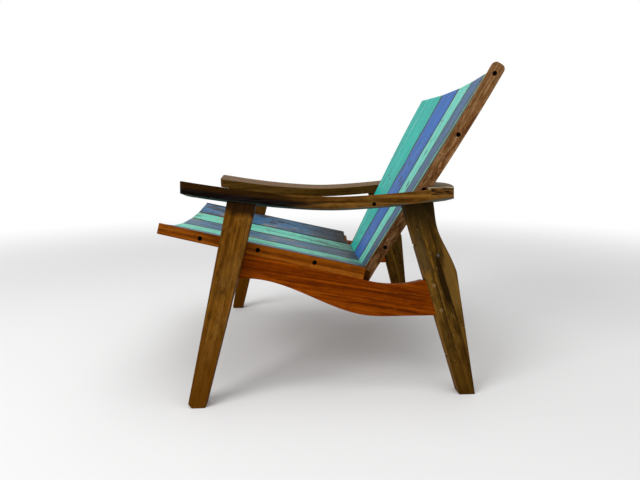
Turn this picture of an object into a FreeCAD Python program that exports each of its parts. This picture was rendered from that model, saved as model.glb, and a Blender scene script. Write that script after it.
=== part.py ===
import FreeCAD, Part
import math
import os

# Wooden garden armchair, in millimetres: X runs across the seat, the front faces -Y and Z is up.
# Two flat side frames lean in towards each other. Each is drawn flat: along to the rear from the
# front leg's rear edge at the floor, up the leaning frame, and out, square to it, from the front
# leg's outer face. The left side is drawn and the right side mirrors it.

# Side frames
FOOT_HALF_WIDTH = 407.0        # outer face of a front leg at the floor
SPLAY = 8.95                   # lean of a side frame, in degrees
EDGE_ROUND = 2.0               # eased edges of the frame timbers
SIDE_T = 30.0                  # thickness of seat rail and apron
LIP = 5.0                      # of a seat rail or back stile, left standing outside the slats

# Front legs
FRONT_LEG_T = 32.0
FRONT_LEG_FOOT_W = 42.0
FRONT_LEG_TAPER = 3.3          # angle between its two edges, in degrees
FRONT_LEG_LEAN = 14.5          # rear edge, in degrees
TOE_CHAMFER = 10.0

# Rear legs
REAR_LEG_T = 32.0
REAR_LEG_PAST_RAIL = 234.2     # front edge at the floor, behind the seat rail's rear end
REAR_LEG_RAKE = 16.0           # front edge, in degrees
REAR_LEG_FOOT_W = 38.0
REAR_LEG_KNEE_W = 85.0
REAR_LEG_KNEE_UP = 312.0
REAR_LEG_WAIST_W = 68.0
REAR_LEG_WAIST_UP = 425.0
REAR_LEG_TOP_W = 76.0
NICK_UPS = (100.3, 379.9)      # old nicks in the front edge
NICK_D = 5.0

# Arms: planks that dip in the middle
ARM_T = 29.0
ARM_FRONT = -51.0
ARM_PAST_RAIL = 211.2          # rear end, behind the seat rail's
ARM_DIP_FROM_REAR = 290.0
ARM_DIP_UP = 499.5
ARM_FRONT_RISE = 38.5
ARM_REAR_RISE = 22.5
ARM_SWEEP = 1.6                # power of the rise on both sides of the dip
ARM_OVERHANG = 3.5             # past the front leg's outer face
ARM_FLARE = 10.0               # further overhang at the front end
ARM_FRONT_W = 88.0
ARM_CORNER = 7.0
ARM_HOLE_FROM_REAR = 194.6     # an old hole in the outer face
ARM_HOLE_UP = 6.6              # above the underside
ARM_HOLE_D = 10.0
ARM_HOLE_DEPTH = 12.0

# Seat rails
RAIL_FRONT = -112.0            # top corner of the front end
RAIL_FRONT_UP = 442.0
RAIL_LENGTH = 517.0
RAIL_FALL = 12.96              # in degrees
RAIL_FRONT_D = 27.0
RAIL_REAR_D = 30.5

# Side aprons
APRON_INSET = 8.0              # behind the front leg's front edge
APRON_FRONT_UP = 304.0         # underside at the front leg
APRON_REAR_UP = 205.0          # underside at the rear leg
APRON_SWEEP_FROM = 90.0
APRON_SWEEP_PAST_RAIL = 38.2
APRON_REAR_TOP_UP = 293.0
APRON_SAG = 11.0               # hollow in the top between rail and rear leg
APRON_SHOULDER = 7.0           # rounded top corner at the rear leg
TENON_L = 45.0
TENON_T = 10.0
TENON_SHOULDER = 3.0
TENON_TOP_SHOULDER = 8.0

# Seat
SEAT_DISH = 34.0
SEAT_SLAT_T = 7.0
SEAT_JOINTS = (-180.0, -78.0, 38.0, 150.0)   # between slats, right to left
SEAT_TAIL = 60.0               # the slats are sawn this long past the rails
SEAT_BACK_GAP = 1.0            # then fitted this close to the back
# The right slat's worn rear end: share of its width from the outer edge, and length past the rails
RAGGED_END = ((0.0, 0.0), (0.4, 9.0), (0.55, 3.0), (0.75, 9.0), (1.0, 18.0))
SLAT_GAP = 3.0
SLAT_ROUND = 1.2
SEAT_BATTEN_W = 24.0
SEAT_BATTEN_D = 14.0
SEAT_BATTEN_FIRST = 104.0      # along the rail from its front end
SEAT_BATTEN_PITCH = 143.0
BEAM_W = 38.0
BEAM_D = 58.0
BEAM_PAST_RAIL = 19.0
BEAM_TENON_L = 14.0
BEAM_TENON_W = 14.0
BEAM_TENON_D = 30.0
BEAM_TENON_BELOW_RAIL = 7.0

# Back
BACK_RECLINE = 28.4            # in degrees
BACK_SETBACK = 25.0            # foot of the slats behind the rail's rear end
BACK_DROP = 18.4               # and below its top
BACK_SLAT_TURNS = (-3.6, -0.5, 2.0, 3.7, 4.8)   # of each slat in the dish, right to left, in degrees
BACK_FOOT_HALF = 183.0         # outer face of a stile at the foot of the slats
BACK_FLARE_POWER = 0.6
BACK_SLAT_RIGHT_L = 569.0      # the slats' tops slant from the right
BACK_SLAT_LEFT_L = 556.0       # to the left
BACK_SLAT_T = 7.0
BACK_SLAT_FOOT = -30.0         # their feet, behind the rear ends of the seat slats
BACK_JOINTS_FOOT = (-0.456, 0.152, 0.60, 0.915)   # share of the half width, right to left
BACK_JOINTS_TOP = (-0.274, 0.246, 0.615, 0.945)
BACK_BATTEN_W = 20.0
BACK_BATTEN_D = 16.0
BACK_BATTEN_RISES = (59.0, 240.0, 395.0, BACK_SLAT_LEFT_L + 1.0)   # the last behind the slats' tops
STILE_T = 28.0
STILE_W = 29.5
STILE_TOP_W = 34.5
STILE_PAST_SLATS = 32.0        # left stile, above the slats beside it
STILE_PAST_SLATS_RIGHT = 4.0   # right stile
STILE_TAIL = 76.0              # below the foot of the slats
STILE_CLEARANCE = 4.5          # beside the arms
STILE_TOP_ROUND = 12.0

# Rear cross rail
CROSS_T = 17.0
CROSS_END_W = 56.5
CROSS_MID_W = 96.0
CROSS_BOW = 78.0               # of its rear edge
CROSS_BOW_POWER = 1.5

# Fasteners and pins
FIT = 0.2                      # round a pin, screw, nail or tenon
BORE_D = 12.0                  # counterbores
BORE_DEPTH = 14.0
SCREW_D = 5.0
SCREW_HEAD_D = 9.0
SCREW_HEAD_H = 3.5
RAIL_SCREW_L = 48.0
RAIL_SCREW_DROPS = (16.5, 14.3, 14.3)   # below the rail's top, front to rear
STILE_SCREW_L = 50.0
STILE_SCREW_DEPTH = 17.0       # behind the stile's front edge
STILE_SCREW_UP = 5.0           # above the middle of the batten
LEG_SCREW_L = 45.0
APRON_SCREW_SHARES = (0.25, 0.65)   # up the apron's front end
FOOT_SCREWS_FROM_END = (14.0, 34.0)   # of a stile
KNEE_SCREW_L = 25.0
KNEE_SCREW_UP = 354.5
KNEE_BORE_DEPTH = 5.0
KNEE_SCREW_IN = 51.0           # from the rear leg's front edge
LAP_SCREW_L = 24.0
PEG_D = 9.0
PEG_FROM_EDGE = 16.5           # of the rear leg
PEG_FROM_TENON_ENDS = (9.0, 5.5)   # lower, upper
PEG_PROUD = 0.8
DOWEL_D = 10.0
DOWEL_L = 34.0
NAIL_D = 2.6
NAIL_HEAD_D = 5.0
NAIL_HEAD_H = 1.2
NAIL_L = 18.0
NAIL_ASIDE = 6.0               # from the middle of the batten
NARROW_SLAT = 60.0             # slats below this width take one nail, others two
NAIL_SHARES = (0.3, 0.7)       # across a wide slat

FAR = 1500.0                   # longer than the chair, for cutting blocks
REACH = 300.0                  # past any timber's thickness, for drawings cut out of others
STATIONS = 13                  # points along a drawn curve
V = FreeCAD.Vector
os.makedirs("parts", exist_ok=True)


def sin(degrees):
    return math.sin(math.radians(degrees))


def cos(degrees):
    return math.cos(math.radians(degrees))


def tan(degrees):
    return math.tan(math.radians(degrees))


# The flat drawings: each takes two drawing coordinates and a level square to the drawing.
def side(along, up, out):
    x = FOOT_HALF_WIDTH - up * sin(SPLAY) + out * cos(SPLAY)
    return V(x, along, up * cos(SPLAY) + out * sin(SPLAY))


def arm_plan(along, out, up):
    return side(along, up, out)


def rail_at(run, drop):
    along = RAIL_FRONT + run * cos(RAIL_FALL) - drop * sin(RAIL_FALL)
    up = RAIL_FRONT_UP - run * sin(RAIL_FALL) - drop * cos(RAIL_FALL)
    return along, up


INNER = -(FRONT_LEG_T + SIDE_T)           # inner faces of rail and apron
SLAT_EDGE = -(FRONT_LEG_T + LIP)          # outer edges of the seat slats
RAIL_REAR_AT, RAIL_REAR_UP = rail_at(RAIL_LENGTH, 0.0)
ARM_REAR = RAIL_REAR_AT + ARM_PAST_RAIL
ARM_DIP_AT = ARM_REAR - ARM_DIP_FROM_REAR
SEAT_SLOPE = math.degrees(math.atan(tan(RAIL_FALL) * cos(SPLAY)))
SEAT_FRONT = side(RAIL_FRONT, RAIL_FRONT_UP, SLAT_EDGE)
SEAT_REAR = side(RAIL_REAR_AT, RAIL_REAR_UP, SLAT_EDGE)
SEAT_LENGTH = (SEAT_REAR.y - SEAT_FRONT.y) / cos(SEAT_SLOPE)
SEAT_HALF = (SEAT_FRONT.x + SEAT_REAR.x) / 2


def seat(across, lift, down):
    y = SEAT_FRONT.y + down * cos(SEAT_SLOPE) + lift * sin(SEAT_SLOPE)
    return V(across, y, SEAT_FRONT.z - down * sin(SEAT_SLOPE) + lift * cos(SEAT_SLOPE))


def seat_plan(across, down, lift):
    return seat(across, lift, down)


def back(across, rise, depth):
    y = SEAT_REAR.y + BACK_SETBACK + rise * sin(BACK_RECLINE) + depth * cos(BACK_RECLINE)
    z = SEAT_REAR.z - BACK_DROP + rise * cos(BACK_RECLINE) - depth * sin(BACK_RECLINE)
    return V(across, y, z)


def back_side(depth, rise, across):
    return back(across, rise, depth)


# Solids from drawings. An outline is a list of runs: two points make a straight run, more a curve.
def run_edge(points):
    if len(points) == 2:
        return Part.makeLine(points[0], points[1])
    curve = Part.BSplineCurve()
    curve.interpolate(points)
    return curve.toShape()


def corners(points):
    return [[p, q] for p, q in zip(points, points[1:] + points[:1])]


def prism(drawing, outline, low, high):
    edges = [run_edge([drawing(a, b, low) for a, b in run]) for run in outline]
    return Part.Face(Part.Wire(edges)).extrude(drawing(0, 0, high) - drawing(0, 0, low))


def eased(solid, radius):
    return solid.makeFillet(radius, solid.Edges)


def mirrored(shape):
    return shape.mirror(V(0, 0, 0), V(1, 0, 0))


def both(shape):
    return Part.makeCompound([shape, mirrored(shape)])


def between_sides(shape, out):
    block = prism(side, corners([(-FAR, -FAR), (FAR, -FAR), (FAR, FAR), (-FAR, FAR)]), -FAR, out)
    return shape.common(block).common(mirrored(block))


def rod(start, end, radius):
    return Part.makeCylinder(radius, (end - start).Length, start, end - start)


def headed(start, end, radius, head_radius, head_height):
    head_end = start + (end - start).normalize() * head_height
    return rod(start, head_end, head_radius).fuse(rod(head_end, end, radius)).removeSplitter()


def screw(start, end, room=0.0):
    return headed(start, end, SCREW_D / 2 + room, SCREW_HEAD_D / 2 + room, SCREW_HEAD_H)


# Straight edges of the legs
def front_leg_rear(up):
    return up * tan(FRONT_LEG_LEAN)


def front_leg_front(up):
    return front_leg_rear(up) - FRONT_LEG_FOOT_W - up * tan(FRONT_LEG_TAPER)


def rear_leg_front(up):
    return RAIL_REAR_AT + REAR_LEG_PAST_RAIL - up * tan(REAR_LEG_RAKE)


# Arms
def arm_top(along):
    if along < ARM_DIP_AT:
        return ARM_DIP_UP + ARM_FRONT_RISE * ((ARM_DIP_AT - along) / (ARM_DIP_AT - ARM_FRONT)) ** ARM_SWEEP
    return ARM_DIP_UP + ARM_REAR_RISE * ((along - ARM_DIP_AT) / (ARM_REAR - ARM_DIP_AT)) ** ARM_SWEEP


def spread(low, high):
    return [low + (high - low) * i / (STATIONS - 1) for i in range(STATIONS)]


ARM_INNER = -(FRONT_LEG_T + REAR_LEG_T)   # over the rear leg's inner face
ARM_STATIONS = spread(ARM_FRONT, ARM_REAR)
arm_upper = [(a, arm_top(a)) for a in ARM_STATIONS]
arm_lower = [(a, arm_top(a) - ARM_T) for a in reversed(ARM_STATIONS)]
arm_profile = [arm_upper, [arm_upper[-1], arm_lower[0]], arm_lower, [arm_lower[-1], arm_upper[0]]]
arm_tip = ARM_OVERHANG + ARM_FLARE
arm_outer = [(ARM_FRONT + ARM_CORNER, arm_tip),
             (ARM_FRONT / 2 + ARM_DIP_AT / 2, ARM_OVERHANG + ARM_FLARE / 4),
             (ARM_DIP_AT, ARM_OVERHANG), (ARM_REAR, ARM_OVERHANG)]
arm_inner = [(ARM_REAR, ARM_INNER), (ARM_FRONT + ARM_CORNER, arm_tip - ARM_FRONT_W)]
arm_front = [(ARM_FRONT, arm_tip - ARM_FRONT_W + ARM_CORNER), (ARM_FRONT, arm_tip - ARM_CORNER)]
arm_outline = [arm_outer, [arm_outer[-1], arm_inner[0]], arm_inner, [arm_inner[-1], arm_front[0]],
               arm_front, [arm_front[1], arm_outer[0]]]
arm_room = prism(arm_plan, arm_outline, 0.0, FAR)
arm_plank = prism(side, arm_profile, -REACH, REACH).common(arm_room).removeSplitter()
below_rear = (ARM_REAR + FAR, arm_lower[0][1])
below_arm = prism(side, [arm_lower, [arm_lower[-1], (ARM_FRONT, -FAR)],
                         [(ARM_FRONT, -FAR), (ARM_REAR + FAR, -FAR)],
                         [(ARM_REAR + FAR, -FAR), below_rear], [below_rear, arm_lower[0]]],
                  -REACH, REACH)

# Stiles of the back: the outer face flares from the foot to its place beside the arms and on up
BACK_SLAT_L = max(BACK_SLAT_RIGHT_L, BACK_SLAT_LEFT_L)
STILE_TOP = BACK_SLAT_LEFT_L + STILE_PAST_SLATS
arm_inner_edge = side(ARM_REAR, arm_top(ARM_REAR), ARM_INNER)
ARM_RISE = (arm_inner_edge.z - back(0, 0, 0).z) / cos(BACK_RECLINE)


def flare(rise):
    t = (max(rise, 0.0) / STILE_TOP) ** BACK_FLARE_POWER
    return 3 * t ** 2 - 2 * t ** 3


def stile_outer(rise):
    beside_arm = arm_inner_edge.x - STILE_CLEARANCE
    return BACK_FOOT_HALF + (beside_arm - BACK_FOOT_HALF) * flare(rise) / flare(ARM_RISE)


def stile_inner(rise):
    return stile_outer(rise) - STILE_T


STILE_STATIONS = spread(-STILE_TAIL, STILE_TOP)
stile_out = [(stile_outer(r), r) for r in STILE_STATIONS]
stile_in = [(stile_inner(r), r) for r in reversed(STILE_STATIONS)]
stile_blank = prism(back, [stile_out, [stile_out[-1], stile_in[0]],
                           stile_in, [stile_in[-1], stile_out[0]]], 0.0, STILE_TOP_W)
stile_blank = stile_blank.common(prism(back_side, corners([
    (0.0, -STILE_TAIL), (0.0, STILE_TOP), (STILE_TOP_W, STILE_TOP), (STILE_W, 0.0), (STILE_W, -STILE_TAIL)]),
    -FAR, FAR))
stile_end_z = back(0.0, STILE_TOP, STILE_TOP_W).z
top_edges = [e for e in stile_blank.Edges
             if e.BoundBox.ZMin > stile_end_z - FIT and e.BoundBox.XLength > STILE_T / 2]
stile_blank = stile_blank.makeFillet(STILE_TOP_ROUND, top_edges)

# Rear cross rail, bowed to the rear, let into the arms' rear ends
lap_up = arm_top(ARM_REAR - CROSS_END_W / 2)
CROSS_TOP = side(ARM_REAR - CROSS_END_W / 2, lap_up, ARM_OVERHANG).z
CROSS_HALF = side(ARM_REAR, lap_up, ARM_OVERHANG).x


def cross_edge(end_y, bow):
    wide = CROSS_HALF + ARM_T
    return [V(x, end_y + bow * (1 - abs(x / CROSS_HALF) ** CROSS_BOW_POWER), 0)
            for x in spread(-wide, wide)]


cross_rear = cross_edge(ARM_REAR, CROSS_BOW)
cross_front = cross_edge(ARM_REAR - CROSS_END_W, CROSS_BOW + CROSS_END_W - CROSS_MID_W)[::-1]
cross_runs = [cross_rear, [cross_rear[-1], cross_front[0]], cross_front, [cross_front[-1], cross_rear[0]]]
cross_plan = Part.Face(Part.Wire([run_edge(run) for run in cross_runs]))
cross_plan.translate(V(0, 0, CROSS_TOP - CROSS_T))
cross_rail = between_sides(cross_plan.extrude(V(0, 0, CROSS_T)), ARM_OVERHANG)
cross_rail = cross_rail.cut(both(stile_blank)).removeSplitter()
arm = arm_plank.cut(cross_plan.extrude(V(0, 0, CROSS_T + ARM_T)))

# Legs
above_floor = Part.makeBox(2 * FAR, 2 * FAR, FAR, V(-FAR, -FAR, 0))
LEG_TOP = ARM_DIP_UP + ARM_FRONT_RISE
LEG_LOW = -TOE_CHAMFER


def under_arm(leg):
    return leg.common(above_floor).common(below_arm)


front_leg = prism(side, corners([(front_leg_rear(LEG_LOW), LEG_LOW),
                                 (front_leg_rear(LEG_TOP), LEG_TOP),
                                 (front_leg_front(LEG_TOP), LEG_TOP),
                                 (front_leg_front(TOE_CHAMFER), TOE_CHAMFER),
                                 (front_leg_front(LEG_LOW) + TOE_CHAMFER - LEG_LOW, LEG_LOW)]),
                  -FRONT_LEG_T, 0.0)
front_leg = under_arm(eased(front_leg, EDGE_ROUND))

rear_leg_bow = [(rear_leg_front(LEG_TOP) + REAR_LEG_TOP_W, LEG_TOP)]
rear_leg_bow += [(rear_leg_front(up) + w, up) for up, w in (
    (arm_top(rear_leg_front(ARM_DIP_UP)) - ARM_T, REAR_LEG_TOP_W),
    (REAR_LEG_WAIST_UP, REAR_LEG_WAIST_W),
    ((REAR_LEG_WAIST_UP + REAR_LEG_KNEE_UP) / 2, (REAR_LEG_WAIST_W + REAR_LEG_KNEE_W) / 2),
    (REAR_LEG_KNEE_UP, REAR_LEG_KNEE_W))]
rear_leg_heel = (rear_leg_front(LEG_LOW) + REAR_LEG_FOOT_W, LEG_LOW)
rear_leg = prism(side, [[(rear_leg_front(LEG_LOW), LEG_LOW), (rear_leg_front(LEG_TOP), LEG_TOP)],
                        [(rear_leg_front(LEG_TOP), LEG_TOP), rear_leg_bow[0]],
                        rear_leg_bow, [rear_leg_bow[-1], rear_leg_heel],
                        [rear_leg_heel, (rear_leg_front(LEG_LOW), LEG_LOW)]],
                 -FRONT_LEG_T - REAR_LEG_T, -FRONT_LEG_T)
rear_leg = under_arm(eased(rear_leg, EDGE_ROUND))
for up in NICK_UPS:
    nick_at = rear_leg_front(up)
    rear_leg = rear_leg.cut(rod(side(nick_at, up, -REACH), side(nick_at, up, 0.0), NICK_D / 2))

# Seat rails
rail_corners = [rail_at(0.0, 0.0), rail_at(RAIL_LENGTH, 0.0),
                rail_at(RAIL_LENGTH, RAIL_REAR_D), rail_at(0.0, RAIL_FRONT_D)]
seat_rail = eased(prism(side, corners(rail_corners), INNER, -FRONT_LEG_T), EDGE_ROUND)


# Side aprons, under the rail and on to a pinned tenon in the rear leg
def rail_under(along):
    (a0, u0), (a1, u1) = rail_corners[3], rail_corners[2]
    return u0 + (u1 - u0) * (along - a0) / (a1 - a0)


def apron_under(along):
    sweep = RAIL_REAR_AT + APRON_SWEEP_PAST_RAIL - APRON_SWEEP_FROM
    t = min(max((along - APRON_SWEEP_FROM) / sweep, 0.0), 1.0)
    return APRON_FRONT_UP + (APRON_REAR_UP - APRON_FRONT_UP) * (1 - math.cos(math.pi * t)) / 2


rail_slope = rail_under(1.0) - rail_under(0.0)
leg_slope = front_leg_front(1.0) - front_leg_front(0.0)
apron_top_front = front_leg_front(0.0) + APRON_INSET + leg_slope * rail_under(0.0)
apron_top_front /= 1 - leg_slope * rail_slope
apron_low_front = front_leg_front(APRON_FRONT_UP) + APRON_INSET
apron_top_rear = (rear_leg_front(APRON_REAR_TOP_UP) - APRON_SHOULDER, APRON_REAR_TOP_UP)
apron_shoulder = (rear_leg_front(APRON_REAR_TOP_UP - APRON_SHOULDER / 4) - APRON_SHOULDER / 4,
                  APRON_REAR_TOP_UP - APRON_SHOULDER / 4)
apron_end = (rear_leg_front(APRON_REAR_TOP_UP - APRON_SHOULDER), APRON_REAR_TOP_UP - APRON_SHOULDER)
apron_low_rear = (rear_leg_front(APRON_REAR_UP), APRON_REAR_UP)
rail_heel = rail_corners[2]
apron_hollow = ((rail_heel[0] + apron_top_rear[0]) / 2,
                (rail_heel[1] + apron_top_rear[1]) / 2 - APRON_SAG)
apron_low = [(a, apron_under(a)) for a in spread(apron_low_rear[0], apron_low_front)]
apron = prism(side, [[(apron_top_front, rail_under(apron_top_front)), rail_heel],
                     [rail_heel, apron_hollow, apron_top_rear],
                     [apron_top_rear, apron_shoulder, apron_end], [apron_end, apron_low_rear], apron_low,
                     [apron_low[-1], (apron_top_front, rail_under(apron_top_front))]],
              INNER, -FRONT_LEG_T)
TENON_LOW = APRON_REAR_UP + TENON_SHOULDER
TENON_HIGH = APRON_REAR_TOP_UP - TENON_TOP_SHOULDER
TENON_MID = (INNER - FRONT_LEG_T) / 2


def tenon(room):
    low, high, reach = TENON_LOW - room, TENON_HIGH + room, TENON_L + room
    outline = corners([(rear_leg_front(low) - SIDE_T, low), (rear_leg_front(low) + reach, low),
                       (rear_leg_front(high) + reach, high), (rear_leg_front(high) - SIDE_T, high)])
    return prism(side, outline, TENON_MID - TENON_T / 2 - room, TENON_MID + TENON_T / 2 + room)


apron = apron.fuse(tenon(0.0)).removeSplitter()
rear_leg = rear_leg.cut(tenon(FIT))


# Pegs through the rear leg and the apron's tenon
def peg(up, room):
    along = rear_leg_front(up) + PEG_FROM_EDGE
    outer_end = PEG_PROUD - FRONT_LEG_T
    start, end = side(along, up, outer_end - REAR_LEG_T - room), side(along, up, outer_end + room)
    return rod(start, end, PEG_D / 2 + room)


peg_ups = (TENON_LOW + PEG_FROM_TENON_ENDS[0], TENON_HIGH - PEG_FROM_TENON_ENDS[1])
pegs = [peg(up, 0.0) for up in peg_ups]
for up in peg_ups:
    apron = apron.cut(peg(up, FIT))
    rear_leg = rear_leg.cut(peg(up, FIT))


# Dished seat: flat slats between joint lines, laid on battens that follow their undersides
def shifted(line, distance):
    """The broken line moved square to its runs, towards lower second coordinates."""
    moved = []
    for (a0, b0), (a1, b1) in zip(line, line[1:]):
        length = math.hypot(a1 - a0, b1 - b0)
        step = (distance * (b1 - b0) / length, -distance * (a1 - a0) / length)
        moved.append(((a0 + step[0], b0 + step[1]), (a1 + step[0], b1 + step[1])))
    points = [moved[0][0]]
    for ((a0, b0), (a1, b1)), ((c0, d0), (c1, d1)) in zip(moved, moved[1:]):
        denominator = (a1 - a0) * (d1 - d0) - (b1 - b0) * (c1 - c0)
        t = ((c0 - a0) * (d1 - d0) - (d0 - b0) * (c1 - c0)) / denominator
        points.append((a0 + t * (a1 - a0), b0 + t * (b1 - b0)))
    return points + [moved[-1][1]]


def slat_edges(line, i):
    """Ends of slat i on its run of the line, half a gap short of the joints, and the way to its rear."""
    (a0, b0), (a1, b1) = line[i], line[i + 1]
    length = math.hypot(a1 - a0, b1 - b0)
    run = ((a1 - a0) / length, (b1 - b0) / length)
    ends = [(a0 + run[0] * s, b0 + run[1] * s) for s in (SLAT_GAP / 2, length - SLAT_GAP / 2)]
    return ends, (run[1], -run[0])


def nail_spots(line, i, half):
    (a0, b0), (a1, b1) = line[i], line[i + 1]
    low, high = ((min(max(a, -half), half) - a0) / (a1 - a0) for a in (a0, a1))
    length = math.hypot(a1 - a0, b1 - b0)
    narrow = (high - low) * length < NARROW_SLAT
    shares = [low + (high - low) * s for s in ((0.5,) if narrow else NAIL_SHARES)]
    normal = ((b1 - b0) / length, -(a1 - a0) / length)
    return [((a0 + (a1 - a0) * s, b0 + (b1 - b0) * s), normal) for s in shares]


def nail(drawing, spot, level, room=0.0):
    (a, b), (na, nb) = spot
    start = drawing(a - na * room, b - nb * room, level)
    end = drawing(a + na * (NAIL_L + room), b + nb * (NAIL_L + room), level)
    return headed(start, end, NAIL_D / 2 + room, NAIL_HEAD_D / 2 + room, NAIL_HEAD_H + 2 * room)


def lengthened(line, extra):
    """The broken line with its two end runs carried on."""
    longer = list(line)
    for end, neighbour in ((0, 1), (-1, -2)):
        (a0, b0), (a1, b1) = line[neighbour], line[end]
        share = extra / math.hypot(a1 - a0, b1 - b0)
        longer[end] = (a1 + (a1 - a0) * share, b1 + (b1 - b0) * share)
    return longer


def seat_surface(across):
    return across, -SEAT_DISH * (1 - (across / SEAT_HALF) ** 2)


seat_line = [seat_surface(across) for across in (-SEAT_HALF,) + SEAT_JOINTS + (SEAT_HALF,)]
seat_line = lengthened(seat_line, SIDE_T)


def seat_member(depth, start, width):
    top, low = shifted(seat_line, SEAT_SLAT_T), shifted(seat_line, SEAT_SLAT_T + depth)
    return between_sides(prism(seat, corners(top + low[::-1]), start, start + width), INNER)


def rail_down(run):
    return (rail_at(run, 0.0)[0] - RAIL_FRONT) / cos(SEAT_SLOPE)


batten_runs = [SEAT_BATTEN_FIRST + SEAT_BATTEN_PITCH * i for i in range(3)]
seat_battens = [seat_member(SEAT_BATTEN_D, rail_down(run) - SEAT_BATTEN_W / 2, SEAT_BATTEN_W)
                for run in batten_runs]
beam_start = SEAT_LENGTH + BEAM_PAST_RAIL - BEAM_W
seat_beam = seat_member(BEAM_D, beam_start, BEAM_W).cut(both(stile_blank))
seat_beam = max(seat_beam.Solids, key=lambda s: s.Volume)


# Blind tenons of the beam in the aprons
def beam_tenon(room):
    lift = -RAIL_REAR_D - BEAM_TENON_BELOW_RAIL - BEAM_TENON_D / 2
    mid = seat(SEAT_HALF, lift, beam_start + BEAM_W / 2)
    up = (mid.z - INNER * sin(SPLAY)) / cos(SPLAY)
    a, b = BEAM_TENON_W / 2 + room, BEAM_TENON_D / 2 + room
    outline = corners([(mid.y - a, up - b), (mid.y + a, up - b),
                       (mid.y + a, up + b), (mid.y - a, up + b)])
    return prism(side, outline, INNER - SIDE_T, INNER + BEAM_TENON_L + room)


seat_beam = seat_beam.fuse(both(beam_tenon(0.0))).removeSplitter()
apron = apron.cut(beam_tenon(FIT))

# Dished back: flat slats between joint lines that fan out, laid on battens between the stiles and,
# like the seat's, let into them inside a lip. Its sections are drawn across and forward, at a rise.
def back_section(across, forward, rise):
    return back(across, rise, -forward)


def back_end_line(rise, shares):
    """Joints at a rise: from the left stile's front edge to the right, each slat at its own turn."""
    half = stile_outer(rise)
    line = [(half, 0.0)]
    for share, turn in reversed(list(zip((-1.0,) + shares, BACK_SLAT_TURNS))):
        a, b = line[0]
        line.insert(0, (share * half, b - tan(turn) * (a - share * half)))
    return lengthened(line, REACH)


back_foot_line = back_end_line(0.0, BACK_JOINTS_FOOT)
back_top_line = back_end_line(BACK_SLAT_L, BACK_JOINTS_TOP)


def back_line(rise, distance=0.0):
    """The back's surface at a rise, or a surface at a distance behind it."""
    ends = zip(shifted(back_foot_line, distance), shifted(back_top_line, distance))
    share = rise / BACK_SLAT_L
    return [(a0 + (a1 - a0) * share, b0 + (b1 - b0) * share) for (a0, b0), (a1, b1) in ends]


def back_loft(section, low, high):
    """Solid between a section's shapes at two rises."""
    wires = []
    for rise in (low, high):
        points = [back_section(a, b, rise) for a, b in section(rise)]
        wires.append(Part.makePolygon(points + points[:1]))
    return Part.makeLoft(wires, True, True)


# The slats run back to the face of the back; beside the stiles they end with the rails
def behind_section(rise):
    face = back_line(rise, -SEAT_BACK_GAP)
    return face + [(face[-1][0], -REACH), (face[0][0], -REACH)]


behind_back = back_loft(behind_section, -REACH, REACH)
beside_stile = prism(seat, corners([(BACK_FOOT_HALF, -FAR), (FAR, -FAR), (FAR, FAR), (BACK_FOOT_HALF, FAR)]),
                     SEAT_LENGTH, FAR)
worn_width = SEAT_HALF + SEAT_JOINTS[0]
worn_line = [(worn_width * share - SEAT_HALF, SEAT_LENGTH + past) for share, past in RAGGED_END]
worn_line = [(-FAR, SEAT_LENGTH)] + worn_line[1:]
worn_off = prism(seat_plan, corners(worn_line + [(worn_line[-1][0], FAR), (-FAR, FAR)]), -FAR, FAR)
seat_slats = []
last = len(seat_line) - 2
for i in range(last + 1):
    ends, (na, nb) = slat_edges(seat_line, i)
    section = corners(ends + [(a + na * SEAT_SLAT_T, b + nb * SEAT_SLAT_T) for a, b in reversed(ends)])
    slat = eased(prism(seat, section, 0.0, SEAT_LENGTH + SEAT_TAIL), SLAT_ROUND)
    slat = slat.cut(worn_off if i == 0 else beside_stile).cut(behind_back)
    if i in (0, last):
        slat = between_sides(slat, SLAT_EDGE - FIT)
    seat_slats.append(slat)

# Room for the slats in the rails, inside their lips
seat_floor = shifted(seat_line, SEAT_SLAT_T)
seat_room = prism(seat, corners(seat_floor + [(seat_floor[-1][0], REACH), (seat_floor[0][0], REACH)]),
                  -REACH, SEAT_LENGTH + REACH)
seat_room = between_sides(seat_room, SLAT_EDGE)

support_levels = [rail_down(run) + NAIL_ASIDE for run in batten_runs]
support_levels.append(beam_start + BEAM_W / 2 - NAIL_ASIDE)
seat_nails = []
for i in range(len(seat_slats)):
    spots = [(s, level) for s in nail_spots(seat_line, i, SEAT_HALF) for level in support_levels]
    seat_nails += [nail(seat, spot, level) for spot, level in spots]
    holes = Part.makeCompound([nail(seat, spot, level, FIT) for spot, level in spots])
    seat_slats[i] = seat_slats[i].cut(holes)
    seat_battens = [batten.cut(holes) for batten in seat_battens]
    seat_beam = seat_beam.cut(holes)


def between_stiles(inset):
    """The space between the stiles, and of each stile all but its outer inset."""
    edge = [(stile_outer(r) - inset, r) for r in STILE_STATIONS]
    other = [(-a, r) for a, r in reversed(edge)]
    return prism(back, [edge, [edge[-1], other[0]], other, [other[-1], edge[0]]], -REACH, REACH)


def slat_top(across):
    slant = (BACK_SLAT_LEFT_L - BACK_SLAT_RIGHT_L) / 2
    return (BACK_SLAT_LEFT_L + BACK_SLAT_RIGHT_L) / 2 + slant * across / stile_outer(BACK_SLAT_L)


def above_slats(extra):
    return prism(back, corners([(-FAR, slat_top(-FAR) + extra), (FAR, slat_top(FAR) + extra),
                                (FAR, FAR), (-FAR, FAR)]), -REACH, REACH)


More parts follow.
